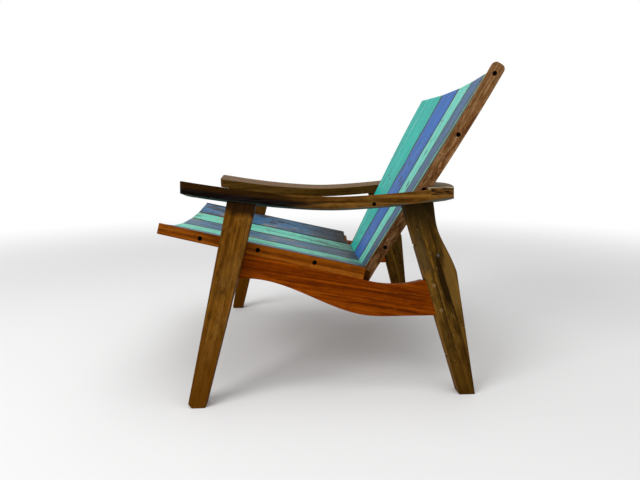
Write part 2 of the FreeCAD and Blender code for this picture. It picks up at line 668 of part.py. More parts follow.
def back_slat(i):
    """A flat board between its joints, from the foot of the back to the slanting tops."""
    ends, (na, nb) = slat_edges(back_line(BACK_SLAT_FOOT), i)
    feet = [back_section(a, b, BACK_SLAT_FOOT) for a, b in ends]
    tops = []
    for k, (a, b) in enumerate(slat_edges(back_top_line, i)[0]):
        rise = slat_top(a)
        a, b = slat_edges(back_line(rise), i)[0][k]
        tops.append(back_section(a, b, rise))
    face = Part.Face(Part.makePolygon(feet + tops[::-1] + feet[:1]))
    to_rear = back_section(na * BACK_SLAT_T, nb * BACK_SLAT_T, 0.0) - back_section(0.0, 0.0, 0.0)
    return eased(face.extrude(to_rear), SLAT_ROUND)


back_slats = [back_slat(i) for i in range(len(back_foot_line) - 1)]
for i in (0, -1):
    back_slats[i] = back_slats[i].common(between_stiles(LIP + FIT))


def batten_section(rise):
    face, rear = (back_line(rise, BACK_SLAT_T + depth) for depth in (0.0, BACK_BATTEN_D))
    return face + rear[::-1]


back_battens = [back_loft(batten_section, mid - BACK_BATTEN_W / 2, mid + BACK_BATTEN_W / 2)
                for mid in BACK_BATTEN_RISES]
back_battens = [batten.common(between_stiles(STILE_T + FIT)) for batten in back_battens]

# Screws through the rails into the seat battens, deep in counterbores
rail_screws = []
for i, run in enumerate(batten_runs):
    along, up = rail_at(run, RAIL_SCREW_DROPS[i])
    face, bore_end = side(along, up, -FRONT_LEG_T), side(along, up, -FRONT_LEG_T - BORE_DEPTH)
    end = side(along, up, -FRONT_LEG_T - BORE_DEPTH - RAIL_SCREW_L)
    rail_screws.append(screw(bore_end, end))
    seat_rail = seat_rail.cut(rod(face, bore_end, BORE_D / 2)).cut(screw(bore_end, end, FIT))
    seat_battens[i] = seat_battens[i].cut(both(screw(bore_end, end, FIT)))

# Screws through the stiles into the back battens
stile = stile_blank
stile_screws = []
for i, mid in enumerate(BACK_BATTEN_RISES):
    rise = mid + STILE_SCREW_UP
    face = back(stile_outer(rise), rise, STILE_SCREW_DEPTH)
    bore_end = face - V(BORE_DEPTH, 0, 0)
    end = bore_end - V(STILE_SCREW_L, 0, 0)
    stile_screws.append(screw(bore_end, end))
    stile = stile.cut(rod(face + V(BORE_DEPTH, 0, 0), bore_end, BORE_D / 2)).cut(screw(bore_end, end, FIT))
    back_battens[i] = back_battens[i].cut(both(screw(bore_end, end, FIT)))

# Screws through the feet of the stiles into the rear seat beam, from behind
foot_screws = []
for from_end in FOOT_SCREWS_FROM_END:
    rise = from_end - STILE_TAIL
    across = stile_outer(rise) - STILE_T / 2
    bore_end = back(across, rise, STILE_W - BORE_DEPTH)
    end = back(across, rise, STILE_W - BORE_DEPTH - LEG_SCREW_L)
    foot_screws.append(screw(bore_end, end))
    stile = stile.cut(rod(back(across, rise, STILE_W), bore_end, BORE_D / 2)).cut(screw(bore_end, end, FIT))
    seat_beam = seat_beam.cut(both(screw(bore_end, end, FIT)))


# Room for the slats in the stiles, inside their lips; the right stile ends near the slats' tops
def room_section(rise):
    floor = back_line(rise, BACK_SLAT_T)
    return floor + [(floor[-1][0], REACH), (floor[0][0], REACH)]


back_room = back_loft(room_section, BACK_SLAT_FOOT - FIT, STILE_TOP + STILE_W).common(between_stiles(LIP))
stiles = [stile.cut(back_room),
          mirrored(stile).cut(back_room).cut(above_slats(STILE_PAST_SLATS_RIGHT))]

# Nails through the back slats, into battens or stiles
back_nails = []
for i in range(len(back_slats)):
    spots = [(spot, mid - NAIL_ASIDE) for mid in BACK_BATTEN_RISES
             for spot in nail_spots(back_line(mid - NAIL_ASIDE), i, stile_outer(mid) - LIP)]
    back_nails += [nail(back_section, spot, rise) for spot, rise in spots]
    holes = Part.makeCompound([nail(back_section, spot, rise, FIT) for spot, rise in spots])
    back_slats[i] = back_slats[i].cut(holes)
    back_battens = [batten.cut(holes) for batten in back_battens]
    stiles = [stile.cut(holes) for stile in stiles]


# Screws from inside the apron and the rail into the front leg
def leg_middle(up):
    return (front_leg_front(up) + front_leg_rear(up)) / 2


leg_screws = []
rail_low = rail_under(leg_middle(APRON_FRONT_UP))
leg_screw_ups = [rail_low + (RAIL_FRONT_D - SEAT_SLAT_T) / 2]
leg_screw_ups += [APRON_FRONT_UP + (rail_low - APRON_FRONT_UP) * share for share in APRON_SCREW_SHARES]
for up in leg_screw_ups:
    along = leg_middle(up)
    start, end = side(along, up, INNER), side(along, up, INNER + LEG_SCREW_L)
    leg_screws.append(screw(start, end))
    hole = screw(start, end, FIT)
    seat_rail = seat_rail.cut(hole)
    apron = apron.cut(hole)
    front_leg = front_leg.cut(hole)

# The rails' lips: all their drilling done, room for the slats is cut inside them
seat_rails = [seat_rail.cut(seat_room), mirrored(seat_rail).cut(seat_room)]

# A screw in the side of the rear leg, above the apron
knee_along = rear_leg_front(KNEE_SCREW_UP) + KNEE_SCREW_IN
face = side(knee_along, KNEE_SCREW_UP, -FRONT_LEG_T)
start = side(knee_along, KNEE_SCREW_UP, -FRONT_LEG_T - KNEE_BORE_DEPTH)
end = side(knee_along, KNEE_SCREW_UP, -FRONT_LEG_T - KNEE_BORE_DEPTH - KNEE_SCREW_L)
knee_screw = screw(start, end)
rear_leg = rear_leg.cut(rod(face, start, BORE_D / 2)).cut(screw(start, end, FIT))

# Dowels between the legs and the arms
dowels = []
front_dowel_up = arm_top(leg_middle(ARM_DIP_UP)) - ARM_T
rear_dowel_at = rear_leg_front(ARM_DIP_UP) + REAR_LEG_TOP_W / 2
rear_dowel_up = arm_top(rear_dowel_at) - ARM_T
dowel_spots = ((leg_middle(ARM_DIP_UP), front_dowel_up, -FRONT_LEG_T / 2),
               (rear_dowel_at, rear_dowel_up, -FRONT_LEG_T - REAR_LEG_T / 2))
for along, up, out in dowel_spots:
    half, room = DOWEL_L / 2, DOWEL_L / 2 + FIT
    dowels.append(rod(side(along, up - half, out), side(along, up + half, out), DOWEL_D / 2))
    hole = rod(side(along, up - room, out), side(along, up + room, out), DOWEL_D / 2 + FIT)
    arm = arm.cut(hole)
    front_leg = front_leg.cut(hole)
    rear_leg = rear_leg.cut(hole)

# Screws from below, through the arm's lap into the cross rail
lap_along = ARM_REAR - CROSS_END_W / 4
lap_out = (ARM_OVERHANG + ARM_INNER) / 2
start = side(lap_along, arm_top(lap_along) - ARM_T, lap_out)
end = start + V(0, 0, LAP_SCREW_L)
lap_screw = screw(start, end)
arm = arm.cut(screw(start, end, FIT))
cross_rail = cross_rail.cut(both(screw(start, end, FIT)))

# An old hole in the arm's outer face
hole_at = ARM_REAR - ARM_HOLE_FROM_REAR
hole_up = arm_top(hole_at) - ARM_T + ARM_HOLE_UP
arm = arm.cut(rod(side(hole_at, hole_up, ARM_OVERHANG + ARM_FLARE),
                  side(hole_at, hole_up, ARM_OVERHANG - ARM_HOLE_DEPTH), ARM_HOLE_D / 2))

# Names of the pieces; the left piece of a pair is the one drawn
pieces = {}
for name, shape in (("front_leg", front_leg), ("rear_leg", rear_leg), ("side_apron", apron), ("arm", arm)):
    pieces[name + "_left"] = shape
    pieces[name + "_right"] = mirrored(shape)
pieces["seat_rail_left"], pieces["seat_rail_right"] = seat_rails
pieces["back_stile_left"], pieces["back_stile_right"] = stiles
pieces["rear_cross_rail"] = cross_rail
pieces["rear_seat_beam"] = seat_beam
for name, shape in zip(("front", "middle", "rear"), seat_battens):
    pieces["seat_batten_" + name] = shape
for name, shape in zip(("bottom", "lower", "upper", "top"), back_battens):
    pieces["back_batten_" + name] = shape
SLAT_PLACES = ("right", "mid_right", "middle", "mid_left", "left")
for name, in_seat, in_back in zip(SLAT_PLACES, seat_slats, back_slats):
    pieces["seat_slat_" + name] = in_seat
    pieces["back_slat_" + name] = in_back
for name, group in (("apron_pegs", pegs), ("seat_rail_screws", rail_screws),
                    ("back_stile_screws", stile_screws), ("back_foot_screws", foot_screws),
                    ("front_leg_screws", leg_screws), ("rear_leg_screws", [knee_screw]),
                    ("arm_dowels", dowels), ("arm_lap_screws", [lap_screw])):
    pieces[name] = Part.makeCompound(group + [mirrored(shape) for shape in group])
pieces["seat_slat_nails"] = Part.makeCompound(seat_nails)
pieces["back_slat_nails"] = Part.makeCompound(back_nails)

# The origin is on the floor in the middle of the chair's length
extent = Part.makeCompound(list(pieces.values())).optimalBoundingBox(False)
for name, shape in pieces.items():
    shape.translate(V(0, -(extent.YMin + extent.YMax) / 2, 0))
    shape.exportStep("parts/" + name + ".step")
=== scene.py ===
import math
from collections import namedtuple

import bmesh
import bpy
from mathutils import Matrix, Vector


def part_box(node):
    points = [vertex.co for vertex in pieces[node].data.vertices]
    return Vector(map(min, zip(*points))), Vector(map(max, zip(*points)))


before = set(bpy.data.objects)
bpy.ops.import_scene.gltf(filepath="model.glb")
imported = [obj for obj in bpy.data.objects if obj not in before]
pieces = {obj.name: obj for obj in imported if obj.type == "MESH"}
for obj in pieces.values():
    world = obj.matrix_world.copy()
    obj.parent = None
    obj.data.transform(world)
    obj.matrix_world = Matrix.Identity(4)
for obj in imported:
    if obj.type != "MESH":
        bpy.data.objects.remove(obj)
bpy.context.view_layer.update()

# Wooden garden armchair: reclaimed timber frame, slats in old paint. Metres; the front faces -Y and +X is
# the sitter's left. Angles are in degrees.
SPLAY = 8.95            # lean of the side frames
FRONT_LEG_LEAN = 12.9
REAR_LEG_RAKE = 16.0
RAIL_FALL = 12.96
APRON_FALL = 10.0
SEAT_FALL = 12.8
BACK_RECLINE = 28.4

# The arm's middle line, along and up from the middle of its box: lowest at the dip, sweeping up both ways
ARM_DIP_AT = 0.037
ARM_DIP_UP = -0.0193
ARM_SWEEP = 0.18
ARM_SWEEP_POWER = 1.6

# The photograph's frame and where it was taken from
LENS = 26.07
EYE_HEIGHT = 0.570
EYE_ASIDE = 1.4404
EYE_BEHIND_ARM_FRONT = 0.2747
LOOK_DOWN = 9.25
LOOK_REAR = 2.795       # turned from square across the chair towards its rear
LOOK_ROLL = -0.16

# Painted shade in crevices, and wear, that all finishes share
CREVICE_SHADE_REACH = 0.012      # how far the painted shade reaches out of a corner
WEAR_LENGTH = 0.035     # of the breaks in the wear along edges
SHADER_RAYS = 6         # that look for edges and corners at each point


def sin(degrees):
    return math.sin(math.radians(degrees))


def cos(degrees):
    return math.cos(math.radians(degrees))


def paint_chip(red, green, blue):
    """A colour as it is seen, 0 to 255, as the shader takes it."""
    def channel(value):
        value /= 255
        return value / 12.92 if value <= 0.04045 else ((value + 0.055) / 1.055) ** 2.4
    return channel(red), channel(green), channel(blue), 1.0


Tones = namedtuple("Tones", "dark mid light streak")


def timber_tones(*chips):
    return Tones(*(paint_chip(*chip) for chip in chips))


LEG_TONES = timber_tones((80, 46, 6), (106, 65, 11), (130, 88, 34), (52, 29, 5))
REAR_LEG_TONES = timber_tones((58, 39, 10), (87, 60, 16), (116, 82, 30), (28, 17, 4))
RAIL_TONES = timber_tones((106, 51, 4), (133, 69, 9), (148, 82, 20), (70, 30, 3))
APRON_TONES = timber_tones((100, 39, 1), (123, 53, 1), (140, 66, 4), (68, 24, 1))
ARM_TONES = timber_tones((78, 47, 10), (108, 69, 18), (134, 92, 38), (40, 22, 6))
STILE_TONES = timber_tones((100, 62, 32), (130, 89, 50), (158, 118, 78), (74, 42, 18))
HIDDEN_TONES = timber_tones((92, 50, 12), (114, 68, 22), (136, 88, 38), (60, 32, 8))
CROSS_RAIL_TONES = timber_tones((124, 108, 84), (166, 147, 118), (190, 174, 144), (72, 57, 39))
SLAT_TONES = timber_tones((84, 58, 36), (116, 86, 56), (140, 112, 80), (52, 34, 22))
PEG_TONES = timber_tones((124, 98, 58), (146, 120, 76), (166, 142, 98), (96, 72, 40))
# Dark colour of the splits, and also of the painted shade in crevices, bores and inner corners
GRIME_AND_SHADE = paint_chip(20, 14, 9)
WEATHERED = paint_chip(134, 114, 92)
TEAL = paint_chip(12, 172, 158)
MINT = paint_chip(106, 198, 174)
BACK_MINT = paint_chip(98, 194, 176)
BLUE = paint_chip(64, 109, 146)
CORNFLOWER = paint_chip(8, 88, 166)
GREY_BLUE = paint_chip(66, 103, 131)
BACK_GREY_BLUE = paint_chip(46, 84, 124)
OLD_TEAL = paint_chip(56, 80, 76)

# Slats from the sitter's right to left. On the seat: paint, how worn and how dark to the rear. On the back:
# paint
SEAT_SLATS = (
    ("right", BLUE, 1.4, 1.0), ("mid_right", MINT, 0.7, 0.5), ("middle", GREY_BLUE, 0.9, 0.5),
    ("mid_left", MINT, 0.7, 0.35), ("left", GREY_BLUE, 0.6, 0.15))
BACK_SLATS = (
    ("right", TEAL), ("mid_right", CORNFLOWER), ("middle", BACK_MINT), ("mid_left", BACK_GREY_BLUE),
    ("left", BACK_MINT))
BACK_WEAR = 0.5         # a slat that is more worn than this has scuffs

# Knocks and old nail holes on the back slats: along, across, length and width
KNOCKS = {
    "back_slat_right": ((-0.004, -0.004, 0.010, 0.016), (-0.014, -0.036, 0.011, 0.018)),
    "back_slat_mid_right": ((-0.004, 0.015, 0.022, 0.024), (-0.018, -0.022, 0.034, 0.022),
                            (0.052, 0.012, 0.022, 0.020), (0.030, 0.050, 0.034, 0.016)),
    "back_slat_middle": ((-0.016, -0.004, 0.024, 0.020), (0.086, -0.006, 0.020, 0.016)),
    "back_slat_mid_left": ((-0.030, 0.010, 0.060, 0.012), (0.060, -0.010, 0.070, 0.012)),
}

# Screws and dull nails: dark tone, light tone and how metallic. Screws in deep bores are painted shade,
# near black
FASTENERS = (
    ("seat_rail_screws", (14, 11, 9), (34, 28, 22), 0.0),
    ("back_stile_screws", (12, 10, 9), (40, 36, 32), 0.3),
    ("back_foot_screws", (14, 11, 9), (34, 28, 22), 0.0),
    ("front_leg_screws", (60, 54, 48), (120, 116, 110), 1.0),
    ("rear_leg_screws", (40, 35, 30), (120, 112, 100), 0.9),
    ("arm_lap_screws", (60, 54, 48), (120, 116, 110), 1.0),
    ("seat_slat_nails", (30, 26, 22), (74, 66, 58), 0.6),
    ("back_slat_nails", (30, 26, 22), (74, 66, 58), 0.6),
)

# How each timber lies: the direction of its grain and the direction that its face looks in
OUT = Vector((cos(SPLAY), 0, sin(SPLAY)))
UP = Vector((-sin(SPLAY), 0, cos(SPLAY)))
REAR = Vector((0, 1, 0))
ACROSS = Vector((1, 0, 0))
SKY = Vector((0, 0, 1))
SEAT_RUN = Vector((0, cos(SEAT_FALL), -sin(SEAT_FALL)))
SEAT_FACE = Vector((0, sin(SEAT_FALL), cos(SEAT_FALL)))
BACK_RUN = Vector((0, sin(BACK_RECLINE), cos(BACK_RECLINE)))
BACK_FACE = Vector((0, -cos(BACK_RECLINE), sin(BACK_RECLINE)))


def in_side_frame(rise):
    return REAR * cos(rise) + UP * sin(rise)


def other_side(vector):
    return Vector((-vector.x, vector.y, vector.z))


class Finish:
    """A material for one piece, with its patterns laid out along the grain: x runs with the grain, y across
    the face and z out of the face, from the middle of the piece."""

    def __init__(self, name, run, face, seed):
        self.name = name
        self.seed = seed
        self.material = bpy.data.materials.new(name)
        self.material.use_nodes = True
        self.tree = self.material.node_tree
        self.shader = self.tree.nodes["Principled BSDF"]
        self.heights = []
        across = face.cross(run).normalized()
        self.run = run.normalized()
        self.face = self.run.cross(across)
        self.axes = Matrix((self.run, across, self.face))
        low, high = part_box(name)
        self.middle = (low + high) / 2
        self.place = self.add("ShaderNodeMapping", {
            "Vector": self.add("ShaderNodeTexCoord").outputs["Object"],
            "Location": self.middle,
            "Rotation": self.axes.transposed().to_euler()}, vector_type="TEXTURE").outputs[0]

    def add(self, kind, sockets=(), **settings):
        node = self.tree.nodes.new(kind)
        for key, value in settings.items():
            setattr(node, key, value)
        for key, value in dict(sockets).items():
            self.feed(node.inputs[key], value)
        return node

    def feed(self, socket, value):
        if isinstance(value, bpy.types.NodeSocket):
            self.tree.links.new(value, socket)
        else:
            socket.default_value = value

    def maths(self, operation, *values):
        node = self.add("ShaderNodeMath", operation=operation)
        for socket, value in zip(node.inputs, values):
            self.feed(socket, value)
        return node.outputs[0]

    def plus(self, value, more):
        return self.maths("ADD", value, more)

    def minus(self, value, less):
        return self.maths("SUBTRACT", value, less)

    def times(self, value, factor):
        return self.maths("MULTIPLY", value, factor)

    def dot(self, one, other):
        node = self.add("ShaderNodeVectorMath", {0: one, 1: other}, operation="DOT_PRODUCT")
        return node.outputs["Value"]

    def where(self, value, low, high, most=1.0):
        """0 at low and most at high, with a soft step between, and level beyond both."""
        return self.add("ShaderNodeMapRange", {
            "Value": value, "From Min": low, "From Max": high, "To Max": most},
            interpolation_type="SMOOTHSTEP").outputs[0]

    def blend(self, share, under, over):
        node = self.add("ShaderNodeMix", data_type="RGBA")
        for index, value in ((0, share), (6, under), (7, over)):
            self.feed(node.inputs[index], value)
        return node.outputs[2]

    def shades(self, value, *stops):
        """A colour for each level of a pattern."""
        node = self.add("ShaderNodeValToRGB", {"Fac": value})
        while len(node.color_ramp.elements) < len(stops):
            node.color_ramp.elements.new(0.5)
        for element, (level, colour) in zip(node.color_ramp.elements, stops):
            element.position = level
            element.color = colour
        return node.outputs["Color"]

    def pattern(self, length, width, detail=3.0, rough=0.55, swirl=0.0, shift=0.0, thick=None):
        """Noise whose marks are about this long with the grain, and this wide and thick across it."""
        at = self.add("ShaderNodeMapping", {
            "Vector": self.place, "Scale": (1 / length, 1 / width, 1 / (thick or width)),
            "Location": (self.seed * 3.7 + shift, self.seed * 5.3 + shift, self.seed * 1.9)})
        return self.add("ShaderNodeTexNoise", {
            "Vector": at.outputs[0], "Scale": 1.0, "Detail": detail, "Roughness": rough,
            "Distortion": swirl}).outputs["Fac"]

    def waver(self, amount, length, width, detail=4.0, shift=0.0):
        """Noise to both sides of 0, this much from its lowest to its highest."""
        return self.times(self.minus(self.pattern(length, width, detail, shift=shift), 0.5), amount)

    def axis(self, letter):
        return self.add("ShaderNodeSeparateXYZ", {"Vector": self.place}).outputs[letter]

    def facing(self, direction):
        """How far a surface looks along a direction: 1 square to it, -1 away from it."""
        return self.dot(self.add("ShaderNodeNewGeometry").outputs["Normal"], direction)

    def sawn_across(self):
        """1 on the end grain."""
        return self.where(self.maths("ABSOLUTE", self.facing(self.run)), 0.55, 0.80)

    def worn_edges(self, reach):
        """1 along edges, broken up by wear."""
        flat = self.add("ShaderNodeNewGeometry").outputs["Normal"]
        rounded = self.add("ShaderNodeBevel", {"Radius": reach}, samples=SHADER_RAYS).outputs[0]
        turned = self.minus(1.0, self.dot(flat, rounded))
        breaks = self.waver(0.22, WEAR_LENGTH, WEAR_LENGTH / 4, detail=3.0)
        return self.where(self.plus(turned, breaks), 0.05, 0.14)

    def edge_line(self, pick):
        """How far across a straight long edge lies. Pick is min for the low edge, max for the high one."""
        piece = pieces[self.name]
        points = [self.axes @ (piece.matrix_world @ corner.co - self.middle)
                  for corner in piece.data.vertices]
        low, high = min(point.x for point in points), max(point.x for point in points)
        near_end = (high - low) / 10
        first = pick(point.y for point in points if point.x < low + near_end)
        last = pick(point.y for point in points if point.x > high - near_end)
        slope = (last - first) / (high - low)
        return self.plus(self.times(self.axis("X"), slope), first - slope * low)

    def from_long_edges(self, both):
        """Distance in from the nearer of both long edges, or else from the low one."""
        from_low = self.minus(self.axis("Y"), self.edge_line(min))
        if not both:
            return from_low
        return self.maths("MINIMUM", from_low, self.minus(self.edge_line(max), self.axis("Y")))

    def painted_crevice_shade(self, most):
        """Painted shade in gaps, bores and inner corners, darkest where the surroundings block most light.
        """
        node = self.add("ShaderNodeAmbientOcclusion", {"Distance": CREVICE_SHADE_REACH}, samples=SHADER_RAYS)
        return self.where(node.outputs["AO"], 0.66, 0.30, most)

    def spot(self, along, across, length, width, ragged):
        """1 at a place on the face, 0 outside a ragged patch of this length and width."""
        offset = self.add("ShaderNodeVectorMath", {
            0: self.place, 1: (along, across, 0)}, operation="SUBTRACT").outputs[0]
        scaled = self.add("ShaderNodeVectorMath", {
            0: offset, 1: (2 / length, 2 / width, 0)}, operation="MULTIPLY").outputs[0]
        distance = self.add("ShaderNodeVectorMath", {0: scaled}, operation="LENGTH").outputs["Value"]
        outline = self.waver(2 * ragged, length / 2, width / 2, shift=along * 90 + 71)
        return self.where(self.plus(distance, outline), 1.1, 0.6)

    def relief(self, pattern, depth):
        self.heights.append(self.times(pattern, depth))

    def done(self, colour, roughness, sheen=0.012, crevice_shade=0.9):
        """Joins the colour, the painted crevice shade, roughness and relief to the shader, and dresses the
        piece in it.
        """
        # The colour is darkened by painted shade wherever a crevice blocks the light
        self.feed(self.shader.inputs["Base Color"], self.blend(self.painted_crevice_shade(crevice_shade), colour, GRIME_AND_SHADE))
        self.feed(self.shader.inputs["Roughness"], roughness)
        self.feed(self.shader.inputs["Specular IOR Level"], sheen)
        height = self.heights[0]
        for more in self.heights[1:]:
            height = self.plus(height, more)
        bump = self.add("ShaderNodeBump", {"Height": height, "Strength": 1.0, "Distance": 1.0})
        self.feed(self.shader.inputs["Normal"], bump.outputs[0])
        for slot in pieces[self.name].material_slots:
            slot.material = self.material


def bare_wood(finish, tones, streaks=0.6, figure=0.030):
    """Bands, dark streaks and pores of bare timber, with end grain where it is cut across."""
    bands = finish.pattern(0.55, figure, swirl=0.6)
    colour = finish.shades(bands, (0.38, tones.dark), (0.50, tones.mid), (0.62, tones.light))
    lines = finish.pattern(0.24, 0.0055, detail=4.0, swirl=0.5, shift=11.0)
    colour = finish.blend(finish.where(lines, 0.51, 0.64, streaks), colour, tones.streak)
    pores = finish.pattern(0.020, 0.0009, detail=2.0, shift=23.0)
    colour = finish.blend(finish.where(pores, 0.52, 0.70, 0.40), colour, tones.streak)
    rings = finish.pattern(0.006, 0.006, detail=4.0, shift=31.0)
    end_grain = finish.shades(rings, (0.35, tones.streak), (0.65, tones.dark))
    colour = finish.blend(finish.sawn_across(), colour, end_grain)
    finish.relief(lines, -0.0008)
    finish.relief(pores, -0.0004)
    return colour, lines


def oiled_timber(name, run, face, seed, tones, gloss=0.42, streaks=0.6, figure=0.030, blotch=None,
                 mottled=0.35):
    """Bare frame timber with a worn oil finish, mottled, with worn edges and small splits."""
    finish = Finish(name, run, face, seed)
    colour, lines = bare_wood(finish, tones, streaks, figure)
    if blotch:
        blotches = finish.pattern(0.11, 0.035, detail=4.0, shift=41.0)
        colour = finish.blend(finish.where(blotches, 0.50, 0.66, 0.6), colour, blotch)
    mottle = finish.pattern(0.030, 0.011, detail=5.0, rough=0.65, shift=47.0)
    colour = finish.blend(finish.where(mottle, 0.50, 0.66, mottled), colour, tones.streak)
    colour = finish.blend(finish.where(mottle, 0.46, 0.32, mottled), colour, tones.light)
    colour = finish.blend(finish.times(finish.worn_edges(0.004), 0.45), colour, tones.light)
    splits = finish.where(finish.pattern(0.09, 0.0022, detail=2.0, swirl=0.3, shift=53.0), 0.69, 0.73)
    colour = finish.blend(finish.times(splits, 0.85), colour, GRIME_AND_SHADE)
    finish.relief(splits, -0.0012)
    finish.relief(finish.pattern(0.16, 0.05, detail=2.0, shift=61.0), 0.0030)
    roughness = finish.add("ShaderNodeMapRange", {
        "Value": lines, "From Min": 0.35, "From Max": 0.7, "To Min": gloss - 0.07, "To Max": gloss + 0.16})
    return finish, colour, roughness.outputs[0]


def finish_front_leg(side, turn, seed):
    """Painted shadow of the arm at the top, partly a dark stain, with a pale patch below, and golden low
    down.
    """
    finish, colour, rough = oiled_timber(
        "front_leg_" + side, turn(in_side_frame(90 - FRONT_LEG_LEAN)), turn(OUT), seed, LEG_TONES,
        figure=0.018, blotch=paint_chip(92, 60, 20), mottled=0.55)
    pale = finish.spot(0.075, 0.0, 0.10, 0.045, ragged=1.0)
    colour = finish.blend(finish.times(pale, 0.12), colour, paint_chip(134, 98, 48))
    low_down = finish.where(finish.axis("X"), 0.0, -0.20, 0.8)
    colour = finish.blend(low_down, colour, paint_chip(86, 48, 1))
    # Painted shadow of the arm across the top of the leg, partly a dark stain
    height = finish.plus(finish.axis("X"), finish.times(finish.pattern(0.03, 0.02), 0.03))
    colour = finish.blend(finish.where(height, 0.222, 0.238, 0.9), colour, paint_chip(30, 16, 5))
    finish.done(colour, rough)


def finish_rear_leg(side, turn, seed):
    """Weathered dark, with golden edges, pale chips, and a pale patch behind the knee that a dark streak
    runs beside. Painted shadow of the arm at the top, brown at the foot."""
    finish, colour, rough = oiled_timber(
        "rear_leg_" + side, turn(in_side_frame(90 + REAR_LEG_RAKE)), turn(OUT), seed, REAR_LEG_TONES,
        gloss=0.5, figure=0.016, blotch=paint_chip(80, 58, 22), mottled=0.55)
    golden = paint_chip(126, 88, 34)
    narrow_side = finish.where(finish.maths("ABSOLUTE", finish.facing(REAR)), 0.30, 0.75, 0.75)
    colour = finish.blend(narrow_side, colour, golden)
    for along, across, length, width, share, tone in (
            (0.020, -0.044, 0.210, 0.034, 0.55, paint_chip(122, 90, 40)),
            (0.035, -0.020, 0.170, 0.018, 0.85, REAR_LEG_TONES.streak),
            (-0.200, 0.006, 0.070, 0.036, 0.25, golden),
            (0.120, 0.012, 0.120, 0.034, 0.6, paint_chip(68, 56, 36))):
        patch = finish.spot(along, across, length, width, ragged=1.0)
        colour = finish.blend(finish.times(patch, share), colour, tone)
    foot = finish.where(finish.axis("X"), -0.02, -0.22, 0.55)
    colour = finish.blend(foot, colour, paint_chip(62, 37, 2))
    chips = finish.where(finish.pattern(0.010, 0.0035, detail=2.0, shift=97.0), 0.71, 0.75, 0.8)
    colour = finish.blend(chips, colour, paint_chip(150, 134, 104))
    # Painted shadow of the arm across the top of the leg
    height = finish.plus(finish.axis("X"), finish.times(finish.pattern(0.04, 0.02), 0.08))
    colour = finish.blend(finish.where(height, 0.17, 0.27, 0.8), colour, paint_chip(40, 29, 12))
    finish.done(colour, rough)


def finish_side_board(name, fall, turn, seed, tones):
    finish, colour, rough = oiled_timber(
        name, turn(in_side_frame(-fall)), turn(OUT), seed, tones, gloss=0.36, streaks=0.75, figure=0.014)
    finish.done(colour, rough)


def handled_front(finish, colour):
    """Dark with handling and old oil at the front, sooty low down, with old paint along the lower edge."""
    along = finish.plus(finish.axis("X"), finish.waver(0.16, 0.10, 0.012, shift=5.0))
    colour = finish.blend(finish.where(along, 0.03, -0.13, 0.92), colour, paint_chip(34, 18, 3))
    from_dip = finish.maths("ABSOLUTE", finish.minus(finish.axis("X"), ARM_DIP_AT))
    rise = finish.times(finish.maths("POWER", from_dip, ARM_SWEEP_POWER), ARM_SWEEP)
    above_middle = finish.minus(finish.axis("Y"), finish.plus(rise, ARM_DIP_UP))
    low_front = finish.times(finish.where(above_middle, 0.006, -0.004), finish.where(along, 0.06, -0.09))
    soot = finish.shades(finish.pattern(0.06, 0.003, shift=19.0),
                         (0.45, paint_chip(7, 4, 3)), (0.65, paint_chip(24, 21, 22)))
    colour = finish.blend(finish.times(low_front, 0.95), colour, soot)
    left_paint = finish.where(finish.pattern(0.09, 0.01, detail=4.0, shift=67.0), 0.42, 0.58, 0.7)
    paint_line = finish.times(finish.where(above_middle, -0.0120, -0.0145), left_paint)
    return finish.blend(paint_line, colour, OLD_TEAL)


def finish_arm(side, turn, seed):
    """Weathered on top. The left arm is handled at the front, and the right one is darker all over."""
    finish, colour, rough = oiled_timber(
        "arm_" + side, turn(in_side_frame(0)), turn(OUT), seed, ARM_TONES,
        gloss=0.40, figure=0.012, blotch=paint_chip(112, 78, 34), mottled=0.45)
    if side == "left":
        colour = handled_front(finish, colour)
        weathering = 0.7
    else:
        colour = finish.blend(0.5, colour, paint_chip(58, 38, 12))
        weathering = 0.35
    colour = finish.blend(finish.where(finish.facing(UP), 0.55, 0.85, weathering), colour, WEATHERED)
    finish.done(colour, rough)


def finish_stile(side, turn, seed):
    """Flecked light and dark."""
    finish, colour, rough = oiled_timber(
        "back_stile_" + side, BACK_RUN, turn(ACROSS), seed, STILE_TONES,
        gloss=0.45, streaks=0.45, figure=0.012)
    flecks = finish.pattern(0.022, 0.003, detail=4.0, swirl=0.4, shift=83.0)
    colour = finish.blend(finish.where(flecks, 0.56, 0.64, 0.5), colour, STILE_TONES.streak)
    colour = finish.blend(finish.where(flecks, 0.44, 0.36, 0.45), colour, paint_chip(176, 142, 106))
    finish.done(colour, rough)


def finish_cross_rail():
    """Weathered grey, with brown end grain in the outer faces of the arms."""
    finish, colour, rough = oiled_timber("rear_cross_rail", ACROSS, SKY, 81, CROSS_RAIL_TONES, gloss=0.6)
    rings = finish.pattern(0.02, 0.016, detail=4.0, swirl=0.3, shift=91.0, thick=0.0030)
    end_grain = finish.shades(rings, (0.38, paint_chip(30, 17, 6)), (0.50, paint_chip(84, 54, 21)),
                              (0.62, paint_chip(120, 84, 42)))
    colour = finish.blend(finish.sawn_across(), colour, end_grain)
    finish.done(colour, rough)


def finish_hidden_timber():
    for seed, place in enumerate(("bottom", "lower", "upper", "top"), 71):
        finish, colour, rough = oiled_timber("back_batten_" + place, ACROSS, -BACK_FACE, seed, HIDDEN_TONES)
        finish.done(colour, rough)
    under_seat = ("rear_seat_beam", "seat_batten_front", "seat_batten_middle", "seat_batten_rear")
    for seed, name in enumerate(under_seat, 83):
        finish, colour, rough = oiled_timber(name, ACROSS, SEAT_FACE, seed, HIDDEN_TONES, gloss=0.5)
        finish.done(colour, rough)


def old_paint(finish, paint, chalk):
    """Paint faded in streaks, with the grain showing through."""
    lighter = finish.blend(0.13, paint, paint_chip(214, 226, 220))
    darker = finish.blend(0.34, paint, paint_chip(30, 50, 66))
    coat = finish.blend(finish.where(chalk, 0.36, 0.50), darker, paint)
    coat = finish.blend(finish.where(chalk, 0.52, 0.66), coat, lighter)
    grain = finish.pattern(0.14, 0.0060, detail=4.0, shift=13.0)
    return finish.blend(finish.where(grain, 0.50, 0.64, 0.7), coat, darker)


